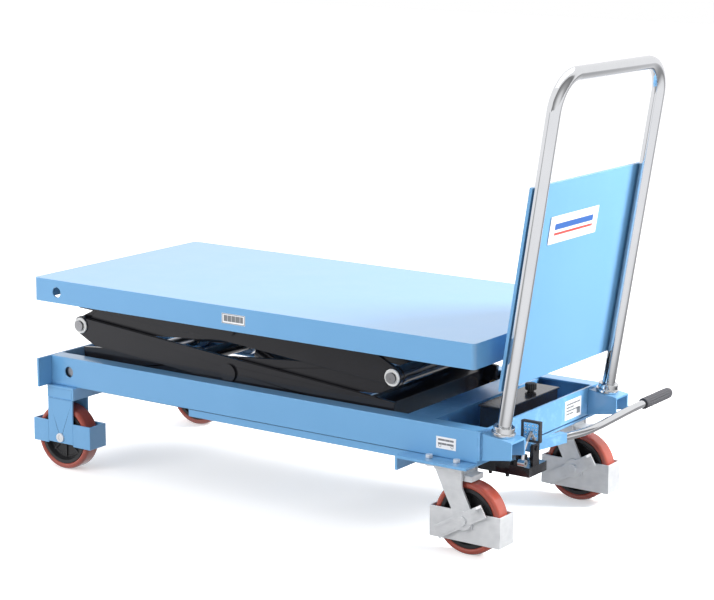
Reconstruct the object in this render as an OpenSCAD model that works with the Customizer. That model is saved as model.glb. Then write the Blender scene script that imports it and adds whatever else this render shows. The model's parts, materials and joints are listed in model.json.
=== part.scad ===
// Mobile double scissor lift table: a sheet-steel platform on a two-stage scissor,
// on a rail frame with two fixed wheels, two braked swivel casters, a push handle
// and a foot pump. X runs from the fixed-wheel end to the handle, Z is up.

/* [Platform] */
// Length of the platform
platform_length = 1220; // [1100:10:1500]
// Width of the platform
platform_width = 610; // [600:10:760]
// Height of the platform's top above the floor, folded down
platform_height = 470; // [465:5:600]
// Depth of the platform's skirt
skirt_height = 55; // [45:1:66]
// Thickness of the platform's sheet
deck_sheet = 4; // [3:0.5:6]
// Radius of the platform's corners
deck_corner_radius = 10; // [8:1:25]
// Diameter of the holes that give access to the roller shafts
access_hole_d = 25; // [15:1:30]
// Depth of the ribs under the platform
rib_depth = 30; // [15:1:36]
// Thickness of the upper roller tracks
track_thickness = 3; // [2:0.5:5]

/* [Scissor] */
// Distance from the platform's front edge to the roller shafts
roller_inset = 72; // [60:1:90]
// Distance from the platform's rear edge to the fixed scissor pivots
pivot_inset = 254; // [220:1:300]
// Depth of each scissor arm
arm_depth = 60; // [45:1:64]
// Thickness of each scissor arm
arm_thickness = 10; // [8:0.5:12]
// Space between an inner and an outer arm
arm_gap = 4; // [3:0.5:6]
// Diameter of the scissor pins
pin_d = 25; // [18:1:30]
// Wall of the bushes in the outer arms
bush_wall = 3; // [2:0.5:4]
// How far the arm's middle line passes above its centre pivot
arm_rise = 5; // [0:1:10]
// How much further the middle line is from the pivots at each end
arm_skew = 16; // [10:1:20]
// How far the top pivots sit below a straight arm's end
top_pivot_drop = 13.3; // [5:0.1:20]
// Diameter of the round cross tubes
cross_tube_d = 40; // [30:1:44]
// Diameter of the pins' round heads
pin_head_d = 42; // [34:1:50]
// Diameter of the upper rollers
upper_roller_d = 44; // [40:1:46]
// Width of the upper rollers
upper_roller_w = 22; // [16:1:24]

/* [Ram] */
// Distance from the fixed pivots back to the ram's lower pin
ram_base_reach = 335; // [320:1:350]
// How far the ram's lower pin sits below the fixed pivots
ram_base_drop = 23; // [18:1:24]
// Distance of the ram's upper pin from the centre pivot, along the arm
ram_eye_reach = 97; // [90:1:105]
// Distance of the ram's upper pin from the centre pivot, across the arm
ram_eye_rise = 31; // [28:1:34]
// Outside diameter of the ram's barrel
ram_barrel_d = 60; // [48:1:62]
// Diameter of the ram's rod
ram_rod_d = 36; // [25:1:40]
// Diameter of the ram's upper shaft
ram_shaft_d = 30; // [24:1:32]

/* [Frame] */
// Distance from the platform's side to the outer face of a rail
rail_inset = 35; // [25:1:50]
// Height of the floor to the underside of the rails
rail_height = 206; // [195:1:250]
// Depth of a rail
rail_depth = 70; // [60:1:84]
// Width of a rail's flanges
rail_flange = 40; // [36:1:44]
// Thickness of the rail's walls
rail_wall = 5; // [4:0.5:7]
// Depth of the bar under each rail
doubler_depth = 18; // [10:1:22]
// Thickness of the end plates and beams
beam_wall = 6; // [4:0.5:8]

/* [Wheels] */
// Diameter of the wheels
wheel_d = 160; // [140:1:170]
// Width of the wheels
wheel_w = 45; // [36:1:47]
// Thickness of the tyre on its core
tyre_thickness = 14; // [10:1:20]
// Diameter of the wheel axles
axle_d = 12; // [10:1:16]
// Space between a wheel and each side of its fork
fork_play = 2.5; // [2:0.5:5]
// Trail of the casters behind their swivel axis
caster_trail = 47; // [35:1:55]
// Height of the toe guards on the casters
caster_guard_height = 68; // [50:1:72]
// Height of the toe guards on the fixed wheels
front_guard_height = 56; // [40:1:66]

/* [Handle] */
// Outside diameter of the handle's tube
handle_tube_d = 30; // [25:1:36]
// Distance between the handle's two legs, middle to middle
handle_span = 466; // [420:1:480]
// Height of the handle's top bar, middle, above the floor
handle_height = 1022; // [900:1:1200]
// Lean of the handle, away from the platform
handle_lean = 8.3; // [4:0.1:12]
// Bend radius of the handle
handle_bend_radius = 75; // [50:1:90]
// Height of the panel's lower edge
panel_bottom = 359; // [330:1:420]
// Length of the panel, up the handle
panel_length = 437; // [350:1:480]

/* [Pump] */
// Length of the oil tank, across the frame
tank_length = 238; // [200:1:260]
// Depth of the oil tank
tank_depth = 84; // [70:1:95]
// Reach of the foot lever from its pump to the grip's end
lever_reach = 544; // [480:1:600]
// Diameter of the foot lever's tube
lever_tube_d = 18; // [14:1:22]
// Length of the lever's grip
grip_length = 136; // [100:1:160]
// Diameter of the lever's grip
grip_d = 26; // [23:1:34]

/* [Hidden] */
$fn = 48;

// Clearances
running_gap = 0.05;
open_pivot_gap = 0.35;
ram_eye_gap = 1.5;
rolling_gap = 0.3;
side_gap = 0.5;
small_gap = 2;

// Frame
rail_y = platform_width / 2 - rail_inset;
rail_inner_y = rail_y - rail_flange;
rail_top = rail_height + rail_depth;
rail_x0 = -platform_length / 2 + 18;
rail_x1 = platform_length / 2 - 10;
end_plate_y = platform_width / 2 + 10;
doubler_x0 = -platform_length / 2 + 436;
doubler_x1 = platform_length / 2 - 186;
doubler_bottom = rail_height - doubler_depth;

// Scissor
lower_roller_d = rail_depth - 2 * rail_wall - 2 * side_gap;
lower_roller_w = 26;
lower_roller_y = rail_inner_y + 5;
upper_roller_y = rail_inner_y - 1;
outer_arm_y = rail_inner_y - 8 - arm_thickness;
inner_arm_y = outer_arm_y - arm_gap - arm_thickness;
roller_x = -platform_length / 2 + roller_inset;
pivot_x = platform_length / 2 - pivot_inset;
base_z = rail_height + rail_wall + lower_roller_d / 2 + rolling_gap;
deck_underside = platform_height - deck_sheet;
top_z = deck_underside - track_thickness - rolling_gap - upper_roller_d / 2;
scissor_span = pivot_x - roller_x;
stack = top_z - base_z + top_pivot_drop;
rest_angle = atan(stack / (2 * scissor_span));
arm_half = scissor_span / 2 / cos(rest_angle);
centre_x = (pivot_x + roller_x) / 2;
lower_centre_z = base_z + stack / 4;
mid_z = base_z + stack / 2;
upper_centre_z = base_z + stack * 3 / 4;
top_angle = asin((top_z - upper_centre_z) / arm_half);
arm_bend = rest_angle - top_angle;
top_roller_x = centre_x - arm_half * cos(top_angle);
top_pivot_x = centre_x + arm_half * cos(top_angle);
end_boss_d = pin_d + 19;
arm_chamfer = 45;
head_gap = 0.5;
head_thickness = 5;
washer_d = 36;
washer_thickness = 3;
cap_d = 24;
cap_height = 7;
bush_flange = arm_gap - 0.4;
bush_d = pin_d + 2 * bush_wall;
outer_face = outer_arm_y + arm_thickness;

// Ram
ram_base_x = pivot_x - ram_base_reach;
ram_base_z = base_z - ram_base_drop;
ram_eye_x = centre_x - ram_eye_reach * cos(rest_angle) - ram_eye_rise * sin(rest_angle);
ram_eye_z = lower_centre_z - ram_eye_reach * sin(rest_angle) + ram_eye_rise * cos(rest_angle);
ram_length = norm([ram_eye_x - ram_base_x, ram_eye_z - ram_base_z]);
ram_angle = atan2(ram_eye_z - ram_base_z, ram_base_x - ram_eye_x);
ram_base_eye_d = 40;
ram_base_eye_w = 40;
ram_base_pin_d = 22;
ram_rod_eye_d = ram_shaft_d + 24;
ram_rod_eye_w = 50;
ram_barrel_end = ram_length - ram_rod_eye_d / 2 - 6;
ram_rod_start = 60;

// Wheels
wheel_r = wheel_d / 2;
front_wheel_x = -platform_length / 2 + 55;
front_wheel_y = rail_y - 15;
fork_inner = wheel_w / 2 + fork_play;
front_fork_wall = 4;
front_fork_length = 78;
front_guard_x0 = front_wheel_x - wheel_r - front_fork_wall - small_gap;
front_guard_x1 = front_wheel_x + wheel_r + 13;
front_guard_z = 62;
front_beam_z = rail_height - beam_wall;
front_beam_x = [front_wheel_x - 40, front_wheel_x + 43];
front_beam_flange = 30;
caster_x = platform_length / 2 - 84;
caster_y = rail_y - 27;
caster_wheel_x = caster_x + caster_trail;
caster_plate_z = rail_height - beam_wall - 6;
kingpin_d = 30;
fork_top = caster_plate_z - 6;
caster_guard_z = 30;
caster_guard_wall = 4;
caster_fork_wall = 5;
guard_half = wheel_w / 2 + 6.5;
fork_half = guard_half + caster_fork_wall;
hub_d = axle_d + 16;

// Handle
handle_leg_y = handle_span / 2;
bracket_x0 = rail_x1 + beam_wall;
bracket_depth = 72;
bracket_top = rail_top - 4;
handle_base_x = bracket_x0 + 34;
handle_base_z = bracket_top - 34 * tan(handle_lean);
handle_leg = (handle_height - handle_base_z) / cos(handle_lean);
handle_wall = 2.5;
panel_start = (panel_bottom - handle_base_z) / cos(handle_lean);
panel_y = handle_leg_y + handle_tube_d / 2 - 4;
panel_sheet = 2;
panel_fold = 7;

// Pump
tank_x0 = rail_x1 - 85;
tank_x1 = tank_x0 + 60;
tank_top = rail_height + tank_depth;
pump_y = -(rail_inner_y - 80);
pump_x0 = rail_x1 - 55;
pump_x1 = rail_x1 + 25;
pump_z = [rail_height - 41, rail_height - 14];
lever_x = rail_x1 + 48;
lever_y = pump_y + 10;
lever_z = rail_height + 16;
lever_pin_d = 12;
lever_splay = 12.5;
socket_length = 115;
socket_w = 18;
socket_h = 22;
ear_gap = 30;
piston_d = 18;
piston_y = lever_y + 26;
socket_end = [lever_x + socket_length * sin(lever_splay), lever_y + socket_length * cos(lever_splay),
    lever_z];
lever_bend = socket_end + [31, 70, 8];
lever_end_x = lever_bend[0] + 10;
lever_end_z = lever_z + 19;
grip_start = lever_y + lever_reach - grip_length;
lever_points = [socket_end - [6, 27, 0], socket_end, lever_bend,
    [lever_end_x, grip_start - 60, lever_end_z], [lever_end_x, grip_start + 12, lever_end_z]];
pedal_x = lever_x + 12;
pedal_y = pump_y - 34;
pedal_z = rail_height - 8;
pedal_rod_d = 8;
pedal_pad = 38;
pedal_pad_y = pump_y - 8;
pedal_pad_z = rail_height + 56;
hose_d = 10;
hose_z = rail_height - 14 - hose_d / 2;
hose_points = [[pump_x0, pump_y, hose_z - 5], [pump_x0 - 70, pump_y, hose_z - 5],
    [pump_x0 - 130, pump_y + 5, hose_z], [pivot_x, pump_y + 40, hose_z],
    [pivot_x - 200, -60, hose_z], [ram_base_x + 70, -50, hose_z + 4],
    [ram_base_x + 20, -49, ram_base_z - 8], [ram_base_x, -49, ram_base_z]];

// The model's own origin: middle of its box, on the floor
box_x0 = front_guard_x0;
box_x1 = handle_base_x + handle_leg * sin(handle_lean) + handle_tube_d / 2;
lever_tip_y = lever_y + lever_reach;
box_y0 = -end_plate_y;
box_y1 = max(end_plate_y, lever_tip_y);

module in_frame() {
    translate([-(box_x0 + box_x1) / 2, -(box_y0 + box_y1) / 2, 0]) children();
}

module both_sides() {
    children();
    mirror([0, 1, 0]) children();
}

module block(x, y, z) {
    translate([x[0], y[0], z[0]]) cube([x[1] - x[0], y[1] - y[0], z[1] - z[0]]);
}

module bar_y(x, z, y, d) {
    translate([x, y[0], z]) rotate([-90, 0, 0]) cylinder(d = d, h = y[1] - y[0]);
}

module bar_x(y, z, x, d) {
    translate([x[0], y, z]) rotate([0, 90, 0]) cylinder(d = d, h = x[1] - x[0]);
}

module ring_y(x, z, y, d, bore) {
    difference() {
        bar_y(x, z, y, d);
        bar_y(x, z, [y[0] - 1, y[1] + 1], bore);
    }
}

// A flat outline in X and Z, as thick as the span of y
module slab_y(y) {
    translate([0, y[1], 0]) rotate([90, 0, 0]) linear_extrude(y[1] - y[0]) children();
}

// A flat outline in Y and Z, as thick as the span of x
module slab_x(x) {
    translate([x[0], 0, 0]) rotate([90, 0, 90]) linear_extrude(x[1] - x[0]) children();
}

// A round bar in straight lengths, mitred at each bend
module bent_bar(points, d) {
    last = len(points) - 2;
    for (i = [0 : last]) {
        step = points[i + 1] - points[i];
        length = norm(step);
        lap = i < last ? d * 0.2 : 0;
        translate(points[i])
            rotate([0, acos(step[2] / length), atan2(step[1], step[0])])
                cylinder(d = d, h = length + lap);
    }
}

// Points on a smooth curve through a route, with some between each two
function spline_point(p, i, t) =
    let (a = p[max(i - 1, 0)], b = p[i], c = p[i + 1], e = p[min(i + 2, len(p) - 1)])
    0.5 * (2 * b + (c - a) * t + (2 * a - 5 * b + 4 * c - e) * t * t + (3 * b - a - 3 * c + e) * t * t * t);
function smooth_route(p, n) =
    concat([for (i = [0 : len(p) - 2], k = [0 : n - 1]) spline_point(p, i, k / n)], [p[len(p) - 1]]);
function unit(v) = v / norm(v);
function heading(p, i) = unit(p[min(i + 1, len(p) - 1)] - p[max(i - 1, 0)]);

// A round tube swept along a route that never runs straight up
module swept_tube(route, d, sides) {
    p = smooth_route(route, 4);
    rings = len(p);
    corners = [for (i = [0 : rings - 1], j = [0 : sides - 1])
        let (t = heading(p, i), u = unit(cross(t, [0, 0, 1])), v = cross(t, u), a = 360 * j / sides)
        p[i] + d / 2 * (cos(a) * u + sin(a) * v)];
    walls = [for (i = [0 : rings - 2], j = [0 : sides - 1])
        let (k = (j + 1) % sides)
        [i * sides + j, (i + 1) * sides + j, (i + 1) * sides + k, i * sides + k]];
    start = [for (j = [0 : sides - 1]) j];
    end = [for (j = [sides - 1 : -1 : 0]) (rings - 1) * sides + j];
    polyhedron(points = corners, faces = concat(walls, [start, end]));
}

// ---- Frame ----

module rail_section() {
    difference() {
        translate([rail_inner_y, rail_height]) square([rail_flange, rail_depth]);
        translate([rail_inner_y - 1, rail_height + rail_wall])
            square([rail_flange - rail_wall + 1, rail_depth - 2 * rail_wall]);
    }
}

module side_rails() {
    color("steelblue") both_sides() {
        difference() {
            slab_x([rail_x0, rail_x1]) rail_section();
            bar_y(roller_x, base_z, [rail_inner_y, rail_y + 1], access_hole_d);
        }
        block([doubler_x0, doubler_x1], [rail_inner_y + 6, rail_y - 2], [doubler_bottom, rail_height]);
    }
}

module end_plates() {
    color("steelblue") {
        block([rail_x0 - beam_wall, rail_x0], [-end_plate_y, end_plate_y], [rail_height, rail_top]);
        block([rail_x0, rail_x0 + 50], [-rail_inner_y, rail_inner_y], [rail_height, rail_height + beam_wall]);
        block([rail_x1, rail_x1 + beam_wall], [-rail_y, rail_y], [rail_height + 6, rail_top]);
    }
}

// An open-down channel across the frame, just under the rails
module under_beam(x0, x1, half, flange) {
    difference() {
        block([x0, x1], [-half, half], [rail_height - flange, rail_height]);
        block([x0 + beam_wall, x1 - beam_wall], [-half - 1, half + 1],
            [rail_height - flange - 1, rail_height - beam_wall]);
    }
}

module front_wheel_beam() {
    color("steelblue")
        under_beam(front_beam_x[0], front_beam_x[1], front_wheel_y + fork_inner + front_fork_wall,
            front_beam_flange);
}

module rear_caster_beam() {
    x0 = rail_x1 - 176;
    color("steelblue") difference() {
        union() {
            block([x0, rail_x1], [-end_plate_y, end_plate_y], [rail_height - beam_wall, rail_height]);
            block([x0, x0 + beam_wall], [-end_plate_y, end_plate_y], [rail_height - 32, rail_height]);
        }
        caster_bolt_places() cylinder(d = 10, h = 60, center = true);
        block([x0 - 1, x0 + 16], [pump_y - 15, pump_y + 30], [rail_height - 42, rail_height - 8]);
    }
}

module rear_cross_beam() {
    x0 = rail_x1 - 205;
    x1 = rail_x1 - 135;
    color("steelblue") {
        block([x0, x1], [-rail_inner_y, rail_inner_y], [rail_height, rail_top - 4]);
        both_sides() slab_y([rail_inner_y - 66, rail_inner_y - 60])
            polygon([[x1, rail_height], [x1 + 40, rail_height], [x1, rail_top - 10]]);
    }
}

module ram_cradle() {
    lug_x = [ram_base_x - 20, ram_base_x + 20];
    cradle_bottom = ram_base_z - ram_base_eye_d / 2 - small_gap - beam_wall;
    color("steelblue") {
        block([ram_base_x - 46, ram_base_x + 46], [-rail_inner_y - 6, rail_inner_y + 6],
            [cradle_bottom, cradle_bottom + beam_wall]);
        both_sides() difference() {
            block(lug_x, [ram_base_eye_w / 2 + 1, ram_base_eye_w / 2 + 11],
                [cradle_bottom + beam_wall, ram_base_z + 20]);
            bar_y(ram_base_x, ram_base_z, [0, 60], ram_base_pin_d);
        }
    }
    color("silver") bar_y(ram_base_x, ram_base_z, [-42, 42], ram_base_pin_d);
}

module base_pivot_pins() {
    color("dimgray") both_sides() {
        bar_y(pivot_x, base_z, [outer_arm_y - 2, rail_y - rail_wall], pin_d);
        ring_y(pivot_x, base_z, [outer_arm_y + arm_thickness + 1, rail_y - rail_wall], pin_d + 20, pin_d);
    }
}

module front_wheel_forks() {
    fork_x = [front_wheel_x - front_fork_length / 2, front_wheel_x + front_fork_length / 2];
    inner = front_wheel_y - fork_inner;
    outer = front_wheel_y + fork_inner;
    neck_x = [front_beam_x[0] + beam_wall, front_beam_x[1] - beam_wall];
    neck_z = rail_height - front_beam_flange;
    color("steelblue") both_sides() difference() {
        for (y = [inner - front_fork_wall, outer]) {
            block(fork_x, [y, y + front_fork_wall], [wheel_r - 14, neck_z]);
            block(neck_x, [y, y + front_fork_wall], [neck_z - 10, front_beam_z]);
        }
        bar_y(front_wheel_x, wheel_r, [inner - 10, outer + 10], axle_d);
    }
}

// A rectangular ring of sheet round a wheel, open above and below
module toe_guard(x, y, z, wall) {
    difference() {
        block(x, y, z);
        block([x[0] + wall, x[1] - wall], [y[0] + wall, y[1] - wall], [z[0] - 1, z[1] + 1]);
    }
}

module front_toe_guards() {
    inner = front_wheel_y - fork_inner - front_fork_wall;
    outer = front_wheel_y + fork_inner + front_fork_wall;
    fork_x = [front_wheel_x - front_fork_length / 2, front_wheel_x + front_fork_length / 2];
    color("steelblue") both_sides() difference() {
        toe_guard([front_guard_x0, front_guard_x1], [inner, outer],
            [front_guard_z, front_guard_z + front_guard_height], front_fork_wall);
        block(fork_x, [inner - 1, outer + 1], [0, front_guard_z + front_guard_height + 1]);
    }
}

module front_axles() {
    half = fork_inner + front_fork_wall;
    color("silver") both_sides() {
        bar_y(front_wheel_x, wheel_r, [front_wheel_y - half - 8, front_wheel_y + half + 1], axle_d);
        ring_y(front_wheel_x, wheel_r, [front_wheel_y + half, front_wheel_y + half + 4], axle_d + 10, axle_d);
        ring_y(front_wheel_x, wheel_r, [front_wheel_y - half - 8, front_wheel_y - half], axle_d + 10, axle_d);
    }
}

// Places for a caster's four bolts, at both sides
module caster_bolt_places() {
    both_sides() for (dx = [-34, 34], dy = [-52, 34])
        translate([caster_x + dx, caster_y + 9 + dy, rail_height]) children();
}

module frame_bolts() {
    grip = beam_wall + 6;
    nut = caster_plate_z - fork_top - 1;
    color("silver") caster_bolt_places() {
        translate([0, 0, -grip - nut]) cylinder(d = 10, h = grip + nut);
        cylinder(d = 17, h = 7, $fn = 6);
        translate([0, 0, -grip - nut]) cylinder(d = 17, h = nut, $fn = 6);
    }
}

module handle_brackets() {
    inner = rail_inner_y - 25;
    outer = rail_y - 6;
    x1 = bracket_x0 + bracket_depth;
    slope = tan(handle_lean);
    wall = 5;
    color("steelblue") both_sides() difference() {
        slab_y([inner, outer]) polygon([[bracket_x0, bracket_top], [x1, bracket_top - bracket_depth * slope],
            [x1, rail_height + 18], [bracket_x0, rail_height + 6]]);
        slab_y([inner + wall, outer - wall]) polygon([[bracket_x0 - 1, bracket_top - wall + slope],
            [x1 + 1, bracket_top - wall - (bracket_depth + 1) * slope], [x1 + 1, rail_height],
            [bracket_x0 - 1, rail_height]]);
        handle_axis() cylinder(d = handle_tube_d, h = 60, center = true);
    }
}

// The frame of one handle leg: its foot at the bracket's top, Z up the leg
module handle_axis() {
    translate([handle_base_x, handle_leg_y, handle_base_z]) rotate([0, handle_lean, 0]) children();
}

module handle_collars() {
    color("silver") both_sides() handle_axis() difference() {
        union() {
            cylinder(d = handle_tube_d + 22, h = 8);
            cylinder(d = handle_tube_d + 16, h = 20);
        }
        cylinder(d = handle_tube_d, h = 60, center = true);
    }
}

module tube_section() {
    difference() {
        circle(d = handle_tube_d);
        circle(d = handle_tube_d - 2 * handle_wall);
    }
}

module push_handle() {
    foot = 22;
    straight = handle_leg - handle_bend_radius;
    color("silver") {
        both_sides() handle_axis() {
            translate([0, 0, -foot]) linear_extrude(straight + foot) tube_section();
            translate([0, -handle_bend_radius, straight]) rotate([90, 0, 90])
                rotate_extrude(angle = 90) translate([handle_bend_radius, 0]) tube_section();
        }
        handle_axis() translate([0, -handle_bend_radius, handle_leg]) rotate([90, 0, 0])
            linear_extrude(handle_span - 2 * handle_bend_radius) tube_section();
    }
}

module handle_panel() {
    back = -handle_tube_d / 2;
    fold_x = [back - panel_fold, back - panel_sheet];
    color("steelblue") translate([0, -handle_leg_y, 0]) handle_axis() translate([0, 0, panel_start]) {
        block([back - panel_sheet, back], [-panel_y, panel_y], [0, panel_length]);
        both_sides() block(fold_x, [panel_y - panel_sheet, panel_y], [0, panel_length]);
        block(fold_x, [panel_sheet - panel_y, panel_y - panel_sheet],
            [panel_length - panel_sheet, panel_length]);
    }
}

// ---- Power unit ----

module oil_tank() {
    half = tank_length / 2;
    color("black") {
        difference() {
            block([tank_x0, tank_x1], [-half, half], [rail_height, tank_top - 4]);
            block([tank_x0 + 3, tank_x1 - 3], [3 - half, half - 3], [rail_height + 3, tank_top]);
        }
        block([tank_x0 - 3, tank_x1 + 3], [-half - 3, half + 3], [tank_top - 4, tank_top]);
    }
}

module tank_cap() {
    color("black") translate([(tank_x0 + tank_x1) / 2, tank_length / 2 - 70, tank_top]) {
        cylinder(d = 14, h = 4);
        translate([0, 0, 4]) cylinder(d = 26, h = 15);
    }
}

module pump_block() {
    ear_y = [lever_y - 15, lever_y + 12];
    ear_top = lever_z + 11;
    color("black") difference() {
        union() {
            block([pump_x0, pump_x1], [pump_y - 25, pump_y + 50], pump_z);
            block([pump_x0 + 8, rail_x1 - 8], [pump_y - 15, pump_y + 40],
                [pump_z[1], rail_height - beam_wall]);
            block([pump_x1, lever_x + 24], [pump_y - 25, pump_y + 50], [pump_z[0], pump_z[1] - 6]);
            block([lever_x - ear_gap / 2 - 6, lever_x - ear_gap / 2], ear_y, [pump_z[1] - 6, ear_top]);
            block([lever_x + ear_gap / 2, lever_x + ear_gap / 2 + 6], ear_y, [pump_z[1] - 6, ear_top]);
            block([pedal_x - 18, pedal_x - 9], [pedal_y - 6, pump_y - 25], [pedal_z - 8, pedal_z + 6]);
        }
        translate([lever_x, piston_y, pump_z[0] + 2]) cylinder(d = piston_d + 2 * running_gap, h = 60);
        bar_x(lever_y, lever_z, [pump_x1 - 1, lever_x + 40], lever_pin_d);
        bar_x(pedal_y, pedal_z, [pedal_x - 19, pedal_x - 8], 6);
    }
    color("silver") {
        bar_x(lever_y, lever_z, [lever_x - ear_gap / 2 - 9, lever_x + ear_gap / 2 + 9], lever_pin_d);
        bar_x(pedal_y, pedal_z, [pedal_x - 18, pedal_x + 8], 6);
        for (dx = [20, 62], dy = [-4, 36])
            translate([pump_x0 + dx, pump_y + dy, pump_z[0] - 12]) cylinder(d = 8, h = 12);
    }
}

module pump_piston() {
    color("silver") translate([lever_x, piston_y, pump_z[0] + 17])
        cylinder(d = piston_d, h = lever_z - socket_h / 2 - side_gap - pump_z[0] - 17);
}

module oil_hose() {
    color("black") swept_tube(hose_points, hose_d, 8);
}

module lever_socket() {
    color("steelblue") difference() {
        union() {
            translate([lever_x, lever_y, lever_z]) rotate([0, 0, -lever_splay])
                translate([-socket_w / 2, 0, -socket_h / 2]) cube([socket_w, socket_length, socket_h]);
            bar_x(lever_y, lever_z, [lever_x - 10, lever_x + 10], socket_h);
        }
        bar_x(lever_y, lever_z, [lever_x - 30, lever_x + 30], lever_pin_d + 2 * running_gap);
    }
}

module lever_tube() {
    color("silver") swept_tube(lever_points, lever_tube_d, 12);
}

module lever_grip() {
    color("dimgray") translate([lever_end_x, grip_start, lever_end_z]) rotate([-90, 0, 0])
        difference() {
            cylinder(d = grip_d, h = grip_length);
            translate([0, 0, -1]) cylinder(d = lever_tube_d, h = 13);
        }
}

module release_pedal() {
    top = pedal_pad_z;
    color("silver") difference() {
        union() {
            bar_x(pedal_y, pedal_z, [pedal_x - 8, pedal_x + 8], 16);
            bent_bar([[pedal_x, pedal_y, pedal_z], [pedal_x + 1, pedal_y + 2, top - 38],
                [pedal_x + 3, pedal_y + 10, top - 20], [pedal_x + 4, pedal_pad_y, top - 2]], pedal_rod_d);
        }
        bar_x(pedal_y, pedal_z, [pedal_x - 9, pedal_x + 9], 6 + 2 * running_gap);
    }
    color("silver") block([pedal_x + 4 - pedal_pad / 2, pedal_x + 4 + pedal_pad / 2],
        [pedal_pad_y, pedal_pad_y + 3], [top - pedal_pad / 2, top + pedal_pad / 2]);
}

module release_pad() {
    top = pedal_pad_z;
    half = pedal_pad / 2;
    x = pedal_x + 4;
    color("black") difference() {
        block([x - half - 4, x + half + 4], [pedal_pad_y - 3, pedal_pad_y + 8],
            [top - half - 4, top + half + 4]);
        block([x - half, x + half], [pedal_pad_y - 4, pedal_pad_y + 3], [top - half, top + half]);
    }
}

// ---- Wheels ----

module caster_top_plates() {
    color("silver") difference() {
        both_sides() {
            block([caster_x - 55, caster_x + 55], [caster_y - 60, caster_y + 60],
                [caster_plate_z, caster_plate_z + 6]);
            translate([caster_x, caster_y, caster_plate_z - 8]) cylinder(d = kingpin_d, h = 8);
        }
        caster_bolt_places() cylinder(d = 10, h = 60, center = true);
    }
}

module wheel_tyre(x, y) {
    half = wheel_w / 2;
    shoulder = 4;
    color("brown") translate([x, y, wheel_r]) rotate([90, 0, 0]) rotate_extrude()
        polygon([[wheel_r - tyre_thickness, -half + 2], [wheel_r - 5, -half], [wheel_r, -half + shoulder + 2],
            [wheel_r, half - shoulder - 2], [wheel_r - 5, half], [wheel_r - tyre_thickness, half - 2]]);
}

module wheel_core(x, y) {
    rim = wheel_r - tyre_thickness;
    half = wheel_w / 2 - 2;
    hub = fork_inner - side_gap;
    bore = axle_d / 2 + running_gap;
    color("black") translate([x, y, wheel_r]) rotate([90, 0, 0]) rotate_extrude()
        polygon([[bore, -hub], [hub_d / 2 + 4, -hub], [hub_d / 2 + 8, -7], [rim - 12, -7], [rim - 8, -half],
            [rim, -half], [rim, half], [rim - 8, half], [rim - 12, 7], [hub_d / 2 + 8, 7],
            [hub_d / 2 + 4, hub], [bore, hub]]);
}

module caster_leg_outline() {
    polygon([[caster_x - 28, fork_top], [caster_x + 40, fork_top], [caster_x + 42, fork_top - 38],
        [caster_wheel_x + 25, wheel_r + 12], [caster_wheel_x + 20, wheel_r - 18],
        [caster_wheel_x - 18, wheel_r - 20], [caster_wheel_x - 27, wheel_r + 15],
        [caster_x - 14, fork_top - 28]]);
}

// Both casters point the same way: the right one is the left one moved across
module left_caster() {
    mirror([0, 1, 0]) children();
}

module right_caster() {
    translate([0, 2 * caster_y, 0]) left_caster() children();
}

// One swivel fork at the +Y side, with its axle bolt and the brake's shroud over the wheel
module caster_fork() {
    inner = guard_half;
    crown = fork_top - 6;
    fork_y = [caster_y - fork_half, caster_y + fork_half];
    shroud_y = [caster_y - 24, caster_y + 24];
    shroud_z = wheel_d + 2;
    color("gainsboro") difference() {
        union() {
            slab_y([caster_y - fork_half, caster_y - inner]) caster_leg_outline();
            slab_y([caster_y + inner, caster_y + fork_half]) caster_leg_outline();
            block([caster_x - 28, caster_x + 40], fork_y, [crown, fork_top]);
            translate([caster_x, caster_y, crown]) cylinder(d = 84, h = caster_plate_z - side_gap - crown);
            difference() {
                block([caster_x + 34, caster_x + 60], shroud_y, [shroud_z, shroud_z + 12]);
                block([caster_x + 33, caster_x + 57], shroud_y + [3, -3], [shroud_z - 1, shroud_z + 9]);
            }
            block([caster_x + 34, caster_x + 40], shroud_y, [shroud_z + 9, crown + 1]);
        }
        translate([caster_x, caster_y, crown - 10]) cylinder(d = kingpin_d + 2 * running_gap, h = 60);
        bar_y(caster_wheel_x, wheel_r, [caster_y - 60, caster_y + 60], axle_d);
    }
    color("silver") {
        bar_y(caster_wheel_x, wheel_r, [caster_y - fork_half - 9, caster_y + fork_half + 10], axle_d);
        bar_y(caster_wheel_x, wheel_r, [caster_y - fork_half - 9, caster_y - fork_half], axle_d + 9);
        bar_y(caster_wheel_x, wheel_r, [caster_y + fork_half + 5, caster_y + fork_half + 10], axle_d + 9);
    }
}

module caster_guard() {
    color("gainsboro") difference() {
        toe_guard([caster_wheel_x - wheel_r - 7, caster_wheel_x + wheel_r + 7],
            [caster_y - guard_half, caster_y + guard_half],
            [caster_guard_z, caster_guard_z + caster_guard_height], caster_guard_wall);
        bar_y(caster_wheel_x, wheel_r, [caster_y - 60, caster_y + 60], axle_d);
    }
}

module brake_pedal() {
    y0 = caster_y + fork_half + side_gap;
    color("gainsboro") translate([caster_wheel_x, 0, wheel_r]) rotate([0, -30, 0]) difference() {
        union() {
            block([-73, 58], [y0, y0 + 4], [-15, 15]);
            block([40, 58], [y0, y0 + 22], [9, 15]);
            bar_y(0, 0, [y0, y0 + 4], 44);
        }
        bar_y(0, 0, [y0 - 1, y0 + 30], axle_d + 2 * running_gap);
    }
}

// ---- Scissor ----

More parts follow.
